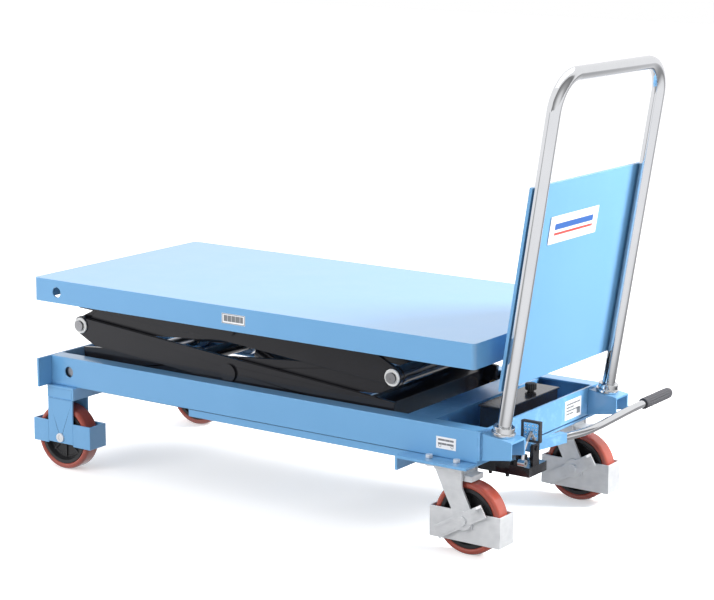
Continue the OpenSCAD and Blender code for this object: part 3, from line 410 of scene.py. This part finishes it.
label_red = finish("label_red", (0.50, 0.05, 0.04), (0.58, 0.07, 0.05), 0.3, **LABEL_FILM)
label_grey = finish("label_grey", (0.16, 0.17, 0.18), (0.22, 0.23, 0.24), 0.35, grain=60, bump=0.01)

FINISH_OF_SLOT = {"blue_paint": blue_paint, "black_paint": black_paint, "chrome": chrome,
                  "zinc_plate": zinc_plate, "turned_steel": turned_steel, "bronze": bronze,
                  "black_plastic": black_plastic, "black_rubber": black_rubber,
                  "red_polyurethane": red_polyurethane}
print("finishes", len(bpy.data.materials) - 1)

# %% [markdown]
# Real sheet and plate never has a knife edge: folding, grinding and paint leave it rounded. The CAD
# parts stay as they are, and modifiers round their edges: Weld joins the split corners, Bevel rounds
# what is sharper than 35 degrees, and Weighted Normal keeps the flat faces flat.

# %% Finish and soften the CAD parts
EDGE_ROUND = {"deck": 0.0028, "side_rails": 0.0022, "handle_panel": 0.0007, "front_toe_guards": 0.0010,
              "left_caster_guard": 0.0011, "right_caster_guard": 0.0011, "oil_tank": 0.0012,
              "left_front_tyre": 0.0035, "right_front_tyre": 0.0035, "left_caster_tyre": 0.0035,
              "right_caster_tyre": 0.0035, "handle_brackets": 0.0016, "lower_outer_arms": 0.0012,
              "upper_outer_arms": 0.0012, "lower_inner_arms": 0.0012, "upper_inner_arms": 0.0012,
              "pump_block": 0.0014, "release_pad": 0.0015, "handle_collars": 0.0016}
PLAIN_ROUND = 0.0008
SHARP_ANGLE = math.radians(35)
JOIN_DISTANCE = 0.00002


def soften(obj, width, segments=2):
    weld = obj.modifiers.new("join_corners", "WELD")
    weld.merge_threshold = JOIN_DISTANCE
    bevel = obj.modifiers.new("round_edges", "BEVEL")
    bevel.width = width
    bevel.segments = segments
    bevel.limit_method = "ANGLE"
    bevel.angle_limit = SHARP_ANGLE
    bevel.use_clamp_overlap = True
    normal = obj.modifiers.new("flat_faces", "WEIGHTED_NORMAL")
    normal.keep_sharp = False


for name, part in NODES.items():
    part.data.materials.clear()
    part.data.materials.append(FINISH_OF_SLOT[SLOT_OF[name]])
    for polygon in part.data.polygons:
        polygon.use_smooth = True
    soften(part, EDGE_ROUND.get(name, PLAIN_ROUND), 3 if name in EDGE_ROUND else 2)
print("finished", len(NODES), "CAD parts")

# %% [markdown]
# The small pieces below are built with bmesh. A mesh is filled in memory, gets its finish and rides the
# body it is fixed to. One helper does those last steps for all.

# %% Helpers for small pieces
PIVOT = {row["name"]: Vector(row["pos_m"]) for row in frame["joints"] if "pos_m" in row}
MADE = []


def hand_over(name, bm, materials, body, round_width=0.0):
    mesh = bpy.data.meshes.new(name)
    bmesh.ops.recalc_face_normals(bm, faces=bm.faces)
    bm.to_mesh(mesh)
    bm.free()
    for material in materials:
        mesh.materials.append(material)
    for polygon in mesh.polygons:
        polygon.use_smooth = True
    obj = bpy.data.objects.new(name, mesh)
    scene.collection.objects.link(obj)
    if round_width:
        soften(obj, round_width)
    else:
        sharp = obj.modifiers.new("flat_faces", "WEIGHTED_NORMAL")
        sharp.keep_sharp = True
        mesh.set_sharp_from_angle(angle=math.radians(32))
    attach(obj, body)
    MADE.append(name)
    return obj


def facing(place, direction, spin=0.0):
    turn = Vector(direction).to_track_quat("Z", "Y").to_matrix().to_4x4()
    return Matrix.Translation(Vector(place)) @ turn @ Matrix.Rotation(spin, 4, "Z")


def turn_profile(bm, profile, matrix, sides=40, material=0, ribs=0, rib_depth=0.0):
    rings = []
    for step in range(sides):
        angle = 2 * math.pi * step / sides
        groove = rib_depth * (0.5 - 0.5 * math.cos(ribs * angle)) if ribs else 0.0
        ring = []
        for radius, height, ribbed in profile:
            r = radius - (groove if ribbed else 0.0)
            ring.append(bm.verts.new(matrix @ Vector((r * math.cos(angle), r * math.sin(angle), height))))
        rings.append(ring)
    count = len(profile)
    for step in range(sides):
        here, after = rings[step], rings[(step + 1) % sides]
        for k in range(count):
            nxt = (k + 1) % count
            face = bm.faces.new((here[k], here[nxt], after[nxt], after[k]))
            face.material_index = material


def ring_profile(inner, outer, low, high, chamfer):
    return [(inner, low, False), (outer - chamfer, low, False), (outer, low + chamfer, False),
            (outer, high - chamfer, False), (outer - chamfer, high, False), (inner, high, False)]


# %% [markdown]
# A hexagon bolt head is a six-sided turned profile: the chamfer that a lathe cuts on the real head
# appears when the top ring is a little smaller. The washer under it is the same profile with many sides.

# %% Hexagon bolt heads


def hex_bolt(bm, place, direction, across, thickness, washer=0.0, spin=0.0):
    matrix = facing(place, direction, spin)
    corner = across / math.sqrt(3)
    base = 0.0
    if washer:
        turn_profile(bm, ring_profile(0.0008, washer / 2, 0.0, 0.0018, 0.0004), matrix, 32)
        base = 0.0018
    turn_profile(bm, [(0.0004, base, False), (corner, base, False), (corner, base + thickness * 0.82, False),
                      (corner * 0.87, base + thickness, False), (0.0004, base + thickness, False)], matrix, 6)
    turn_profile(bm, ring_profile(0.0006, across * 0.30, base + thickness - 0.0006, base + thickness * 1.18,
                                  0.0005), matrix, 20)


for side in ("left", "right"):
    low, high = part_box(side + "_caster_fork")
    hub = PIVOT[side + "_caster_roll"]
    bm = bmesh.new()
    hex_bolt(bm, (hub.x, low.y + 0.0105, hub.z), (0, -1, 0), 0.019, 0.008, 0.026, 0.3)
    hex_bolt(bm, (hub.x, high.y - 0.0075, hub.z), (0, 1, 0), 0.019, 0.0055, 0.026, 0.1)
    hand_over(side + "_caster_axle_bolt", bm, [zinc_plate], side + "_caster")
    hub = PIVOT[side + "_front_roll"]
    low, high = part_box("front_axles")
    outer = low.y if side == "left" else high.y
    facing_out = -1 if side == "left" else 1
    bm = bmesh.new()
    hex_bolt(bm, (hub.x, outer - facing_out * 0.0095, hub.z), (0, facing_out, 0), 0.018, 0.006, 0.025, 0.2)
    hand_over(side + "_front_axle_bolt", bm, [zinc_plate], "frame")
print("bolts", len(MADE))

# %% [markdown]
# The joints between the lower and the upper scissor carry white nylon washers behind a steel cap. They
# are the brightest marks on the black arms, so they are lathe-turned rings with a soft outer edge.

# %% White washers on the middle joints
PIN_BODY = {"lower_pivot_pins": "lower_inner_arm_pair", "upper_pivot_pins": "upper_inner_arm_pair"}
low_pins, high_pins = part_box("lower_pivot_pins")
upper_low, upper_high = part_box("upper_pivot_pins")
mid_left = PIVOT["middle_pivot"]
scissor_centre = PIVOT["lower_scissor"]
mid_right = Vector((2 * scissor_centre.x - mid_left.x, mid_left.y, mid_left.z))
for name, pins, middle in (("lower", (low_pins, high_pins), mid_right),
                           ("upper", (upper_low, upper_high), mid_left)):
    bm = bmesh.new()
    for face, way in ((pins[0].y, -1), (pins[1].y, 1)):
        matrix = facing((middle.x, face - way * 0.0103, middle.z), (0, way, 0))
        turn_profile(bm, ring_profile(0.0118, 0.0192, 0.0, 0.0046, 0.0012), matrix, 48)
        turn_profile(bm, ring_profile(0.0004, 0.0124, 0.0096, 0.0106, 0.0004), matrix, 32, 1)
    body = PIN_BODY[name + "_pivot_pins"]
    hand_over(name + "_mid_joint_washers", bm, [white_nylon, turned_steel], body)
print("middle joints at", [round(v.x, 3) for v in (mid_left, mid_right)])

# %% [markdown]
# A label is a thin film with marks on it. Each one here is a very flat plate whose marks are raised by
# a fifth of a millimetre, so no image is needed. The marks are plain bars and rings: they stand for
# printing and say nothing.

# %% Helpers for labels


def flat_mark(bm, matrix, u0, v0, u1, v1, low, high, material):
    made = bmesh.ops.create_cube(bm, size=1.0)
    size = Matrix.Diagonal((u1 - u0, v1 - v0, high - low, 1))
    shift = Matrix.Translation(((u0 + u1) / 2, (v0 + v1) / 2, (low + high) / 2))
    bmesh.ops.transform(bm, matrix=matrix @ shift @ size, verts=made["verts"])
    for face in {f for v in made["verts"] for f in v.link_faces}:
        face.material_index = material


def label(name, centre, across, upward, size, marks, materials, body, slot, rings=()):
    across, upward = Vector(across).normalized(), Vector(upward).normalized()
    outward = across.cross(upward)
    matrix = Matrix.Translation(Vector(centre)) @ Matrix((across, upward, outward)).transposed().to_4x4()
    bm = bmesh.new()
    flat_mark(bm, matrix, -size[0] / 2, -size[1] / 2, size[0] / 2, size[1] / 2, 0.0, 0.0004, 0)
    for u0, v0, u1, v1, material in marks:
        flat_mark(bm, matrix, u0 * size[0] / 2, v0 * size[1] / 2, u1 * size[0] / 2, v1 * size[1] / 2,
                  0.0002, 0.0006, material)
    for u, v, outer, inner, material in rings:
        place = matrix @ Matrix.Translation((u * size[0] / 2, v * size[1] / 2, 0))
        turn_profile(bm, ring_profile(inner, outer, 0.0002, 0.0006, 0.0001), place, 28, material)
    return hand_over(name, bm, materials, body)


def bars(rows, left, right, lines, material, gap=0.25):
    marks = []
    for row in range(rows):
        top = 0.66 - row * (1.32 / rows)
        height = (1.32 / rows) * (1 - gap)
        x = left
        for share in lines[row]:
            end = x + (right - left) * share
            marks.append((x, top - height, end - 0.03, top, material))
            x = end
    return marks


print("label helpers ready")

# %% [markdown]
# Three small labels sit where a maker puts them: the capacity on the platform's skirt, a lifting mark
# low on the rail, and the type plate on the frame's handle end. Each is placed from the part it sticks to.

# %% Labels on the skirt, the rail and the end plate
FILM_GAP = 0.0001

capacity_marks = bars(1, -0.82, 0.86, [(0.2, 0.2, 0.2, 0.24, 0.16)], 1, 0.1)
capacity_marks += [(-0.97, 0.84, 0.97, 0.95, 1), (-0.97, -0.95, 0.97, -0.84, 1),
                   (-0.97, -0.95, -0.93, 0.95, 1), (0.93, -0.95, 0.97, 0.95, 1)]
label("capacity_label", (TABLE_MIDDLE.x - 0.0135, deck_low.y - FILM_GAP, 0.4425), (1, 0, 0), (0, 0, 1),
      (0.065, 0.023), capacity_marks, [label_white, label_grey], "platform", "blue_paint")

rail_low, rail_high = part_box("side_rails")
rail_marks = bars(2, -0.8, 0.8, [(0.45, 0.3, 0.25), (0.2, 0.35, 0.45)], 1, 0.5)
rail_rings = ((-0.62, -0.5, 0.0035, 0.0025, 1), (0.62, -0.5, 0.0035, 0.0025, 1))
rail_place = (TABLE_MIDDLE.x + 0.5235, rail_low.y - FILM_GAP, rail_high.z - 0.038)
label("rail_label", rail_place, (1, 0, 0), (0, 0, 1), (0.049, 0.026), rail_marks,
      [label_white, label_grey], "frame", "blue_paint", rings=rail_rings)

plate_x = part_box("end_plates")[1].x
type_marks = bars(4, -0.85, 0.85, [(0.5, 0.3, 0.2), (0.3, 0.25), (0.4, 0.3, 0.3), (0.25, 0.3)], 1, 0.45)
type_marks += [(0.42, -0.7, 0.85, -0.1, 1)]
type_place = (plate_x + FILM_GAP, TABLE_MIDDLE.y + 0.1355, rail_high.z - 0.034)
label("type_label", type_place, (0, 1, 0), (0, 0, 1), (0.075, 0.044), type_marks,
      [label_white, label_grey], "frame", "blue_paint")
print("labels on the skirt, the rail and the end plate")

# %% [markdown]
# The panel leans with the handle, so its label has to lean too. The panel's own corners give the
# direction: the lean is read from how far its top lies behind its foot. A broad bar over a thin one is
# all that the label shows.

# %% Panel label
PANEL_FOLD = 0.007
PANEL_LABEL_Z = 0.6905
PANEL_LABEL_ASIDE = Vector((0, -0.0385, 0))
panel_low, panel_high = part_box("handle_panel")
lean_x = (panel_high.x - panel_low.x) - PANEL_FOLD
lean_z = panel_high.z - panel_low.z
PANEL_UP = Vector((lean_x, 0, lean_z)).normalized()
PANEL_OUT = Vector((lean_z, 0, -lean_x)).normalized()
foot = Vector((panel_low.x + PANEL_FOLD, TABLE_MIDDLE.y, panel_low.z))
share = (PANEL_LABEL_Z - panel_low.z) / lean_z
label_middle = foot + Vector((lean_x, 0, lean_z)) * share + PANEL_LABEL_ASIDE + PANEL_OUT * 0.0010
stripes = [(-0.80, -0.02, 0.80, 0.42, 1), (-0.80, -0.42, 0.80, -0.24, 2)]
label("panel_label", label_middle, (0, 1, 0), PANEL_UP, (0.209, 0.060), stripes,
      [label_white, label_blue, label_red], "frame", "blue_paint")
print("panel leans", round(math.degrees(math.atan2(lean_x, lean_z)), 2), "degrees")

# %% [markdown]
# The lever's grip is a moulded rubber sleeve. A real one has grooves along it so that a shoe or a hand
# doesn't slip, a collar at its open end and a domed tip. A turned profile whose radius swings with the
# angle gives the grooves in one go, and stands in for the plain sleeve of the CAD model.

# %% Ribbed lever grip
grip_low, grip_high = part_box("lever_grip")
grip_middle = Vector(((grip_low.x + grip_high.x) / 2, grip_low.y, (grip_low.z + grip_high.z) / 2))
grip_length = grip_high.y - grip_low.y
grip_radius = (grip_high.z - grip_low.z) / 2
bm = bmesh.new()
profile = [(0.0088, 0.0, False), (grip_radius * 0.93, 0.0, False), (grip_radius, 0.003, False),
           (grip_radius, 0.009, False), (grip_radius * 0.9, 0.012, False), (grip_radius, 0.016, True)]
profile += [(grip_radius, 0.016 + k * (grip_length - 0.034) / 8, True) for k in range(1, 9)]
profile += [(grip_radius * 0.96, grip_length - 0.012, False),
            (grip_radius * 0.82, grip_length - 0.005, False),
            (grip_radius * 0.5, grip_length - 0.001, False), (0.0005, grip_length, False)]
turn_profile(bm, profile, facing(grip_middle, (0, 1, 0)), 84, ribs=14, rib_depth=0.0017)
grip = hand_over("lever_grip_sleeve", bm, [grip_rubber], "foot_lever")
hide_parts("lever_grip")
print("grip", round(grip_length * 1000), "mm long")

# %% [markdown]
# The tank's filler cap is a knurled plastic knob. The knurls are the same swinging radius, with more
# of them. A breather ring sits under it.

# %% Knurled filler cap
cap_low, cap_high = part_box("tank_cap")
cap_place = Vector(((cap_low.x + cap_high.x) / 2, (cap_low.y + cap_high.y) / 2, cap_low.z))
cap_radius = (cap_high.x - cap_low.x) / 2
cap_height = cap_high.z - cap_low.z
bm = bmesh.new()
turn_profile(bm, ring_profile(0.0004, 0.0075, 0.0, 0.0045, 0.0006), facing(cap_place, (0, 0, 1)), 32)
turn_profile(bm, [(0.0004, 0.004, False), (cap_radius * 0.92, 0.004, False), (cap_radius, 0.006, True),
                  (cap_radius, cap_height - 0.003, True), (cap_radius * 0.9, cap_height - 0.0006, False),
                  (0.0004, cap_height, False)], facing(cap_place, (0, 0, 1)), 96, ribs=16, rib_depth=0.0016)
cap = hand_over("knurled_filler_cap", bm, [black_plastic], "frame")
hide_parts("tank_cap")
print("cap radius", round(cap_radius * 1000, 1), "mm")

# %% [markdown]
# Each caster turns on a ball race between its fixed top plate and its fork: two pressed steel rings
# with a dark gap between them. The wheels' cores get a bearing cap and a raised rim ring.

# %% Caster races and wheel details
RACE_PROFILE = [(0.020, -0.0068, False), (0.0435, -0.0068, False), (0.0448, -0.0052, False),
                (0.0440, -0.0036, False), (0.0405, -0.0030, False), (0.020, -0.0030, False)]
for side in ("left", "right"):
    swivel = PIVOT[side + "_caster_swivel"]
    plate_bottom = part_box("caster_top_plates")[0].z + 0.008
    bm = bmesh.new()
    matrix = facing((swivel.x, swivel.y, plate_bottom), (0, 0, 1))
    turn_profile(bm, RACE_PROFILE, matrix, 56)
    hand_over(side + "_swivel_race", bm, [zinc_plate], side + "_caster")
    for kind in ("caster", "front"):
        hub = PIVOT[side + "_" + kind + "_roll"]
        core_low, core_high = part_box(side + "_" + kind + "_core")
        rim = (core_high.z - core_low.z) / 2
        bm = bmesh.new()
        for way in (-1, 1):
            face = facing((hub.x, hub.y, hub.z), (0, way, 0))
            turn_profile(bm, ring_profile(0.0068, 0.0150, 0.0215, 0.0228, 0.0004), face, 32, 1)
            turn_profile(bm, [(rim - 0.020, 0.0062, False), (rim - 0.0175, 0.0085, False),
                              (rim - 0.0150, 0.0085, False), (rim - 0.0125, 0.0062, False)], face, 56, 0)
            for spoke in range(8):
                spin = face @ Matrix.Rotation(spoke * math.pi / 4, 4, "Z")
                flat_mark(bm, spin, 0.0155, -0.0018, rim - 0.0135, 0.0018, 0.0060, 0.0105, 0)
        hand_over(side + "_" + kind + "_core_ribs", bm, [black_plastic, turned_steel],
                  side + "_" + kind + "_wheel", 0.0)
print("pieces so far", len(MADE))

# %% [markdown]
# The brake pedals are pressed steel: a raised rib along each arm makes the thin plate stiff, and the
# foot end is folded over. The ribs are rounded bars laid on the plate's outer face.

# %% Brake pedal ribs
PEDAL_FACE_DEPTH = 0.004
PEDAL_TILT = math.radians(-30)
PEDAL_RIBS = ((-0.070, -0.0105, -0.024, -0.0075), (-0.070, 0.0075, -0.024, 0.0105),
              (0.025, -0.0085, 0.050, -0.0055), (0.025, 0.0030, 0.050, 0.0060))
for side in ("left", "right"):
    hub = PIVOT[side + "_brake_press"]
    plate_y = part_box(side + "_brake_pedal")[1].y - PEDAL_FACE_DEPTH
    tilt = Matrix.Rotation(PEDAL_TILT, 4, "Y")
    upright = Matrix.Rotation(math.radians(90), 4, "X")
    on_pedal = Matrix.Translation((hub.x, plate_y, hub.z)) @ tilt @ upright
    bm = bmesh.new()
    for rib in PEDAL_RIBS:
        flat_mark(bm, on_pedal, *rib, -0.0006, 0.0016, 0)
    bmesh.ops.bevel(bm, geom=bm.edges[:], offset=0.0009, segments=2, affect="EDGES")
    hand_over(side + "_brake_ribs", bm, [zinc_plate], side + "_brake")
print("brake ribs on each pedal", len(PEDAL_RIBS))

# %% [markdown]
# Where two plates meet on a fabricated frame there is a weld bead under the paint. A bead is a row of
# overlapping, slightly uneven lenses, so it is built as exactly that.

# %% Weld beads
BEAD_STEP = 0.0032


def weld_bead(bm, start, end, radius=0.0026):
    start, end = Vector(start), Vector(end)
    count = max(3, int((end - start).length / BEAD_STEP))
    along = (end - start).normalized()
    for k in range(count + 1):
        uneven = 1 + 0.12 * math.sin(5.3 * k) + 0.07 * math.sin(11.9 * k + 1)
        place = start + (end - start) * (k / count)
        made = bmesh.ops.create_icosphere(bm, subdivisions=1, radius=radius * uneven)
        squash = Matrix.Diagonal((1.0, 1.0, 0.8, 1))
        turn = along.to_track_quat("Z", "Y").to_matrix().to_4x4()
        bmesh.ops.transform(bm, matrix=Matrix.Translation(place) @ turn @ squash, verts=made["verts"])


bracket_low, bracket_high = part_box("handle_brackets")
fork_low, fork_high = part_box("front_wheel_forks")
beam_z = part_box("front_wheel_beam")[0].z
cross_low, cross_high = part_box("rear_cross_beam")
rail_inner = rail_high.y - 0.040
bm = bmesh.new()
for way in (-1, 1):
    outer = TABLE_MIDDLE.y + way * (bracket_high.y - TABLE_MIDDLE.y)
    inner = outer - way * 0.059
    weld_x = plate_x + 0.001
    weld_bead(bm, (weld_x, outer, bracket_low.z + 0.012), (weld_x, outer, bracket_high.z - 0.006))
    weld_bead(bm, (weld_x, outer - way * 0.004, bracket_high.z), (weld_x, inner, bracket_high.z))
    side_y = TABLE_MIDDLE.y + way * (fork_high.y - TABLE_MIDDLE.y)
    weld_bead(bm, (fork_low.x + 0.006, side_y, beam_z), (fork_high.x - 0.006, side_y, beam_z), 0.0022)
    cross_y = TABLE_MIDDLE.y + way * (rail_inner - TABLE_MIDDLE.y - 0.002)
    weld_bead(bm, (cross_low.x + 0.003, cross_y, cross_high.z), (cross_low.x + 0.042, cross_y, cross_high.z),
              0.0022)
    rail_y = TABLE_MIDDLE.y + way * (rail_high.y - TABLE_MIDDLE.y - 0.001)
    weld_bead(bm, (rail_high.x, rail_y, rail_low.z + 0.02), (rail_high.x, rail_y, rail_high.z - 0.003),
              0.0016)
hand_over("frame_welds", bm, [blue_paint], "frame")

# %% [markdown]
# The oil hose ends at the pump in a crimped steel ferrule with a hexagon nut. It hides where the rubber
# enters the block.

# %% Hose fittings
hose_points = [Vector(v.co) for v in NODES["oil_hose"].data.vertices]
pump_end_x = max(p.x for p in hose_points)
near_pump = [p for p in hose_points if p.x > pump_end_x - 0.004]
pump_end = sum(near_pump, Vector()) / len(near_pump)
bm = bmesh.new()
matrix = facing((pump_end.x - 0.026, pump_end.y, pump_end.z), (1, 0, 0))
turn_profile(bm, ring_profile(0.0045, 0.0068, -0.022, 0.0, 0.0006), matrix, 28)
turn_profile(bm, ring_profile(0.0045, 0.0095, 0.0, 0.012, 0.0008), matrix, 6)
hand_over("hose_ferrule", bm, [zinc_plate], "frame")
print("hose meets the pump at", tuple(round(c, 3) for c in pump_end))

# %% [markdown]
# The release pedal's face is a rubber-rimmed plate with a raised grid that keeps a shoe from slipping.

# %% Pedal face studs
STUD_STEP = 0.0085
pad_low, pad_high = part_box("release_pad")
pad_middle = (pad_low + pad_high) / 2
bm = bmesh.new()
for row in range(4):
    for column in range(4):
        place = Vector((pad_middle.x + (column - 1.5) * STUD_STEP, pad_low.y + 0.0034,
                        pad_middle.z + (row - 1.5) * STUD_STEP))
        turn_profile(bm, [(0.0003, 0.0, False), (0.0024, 0.0, False), (0.0018, 0.0010, False),
                          (0.0003, 0.0012, False)], facing(place, (0, -1, 0)), 12)
hand_over("pedal_studs", bm, [zinc_plate], "release")
print("all pieces", len(MADE))
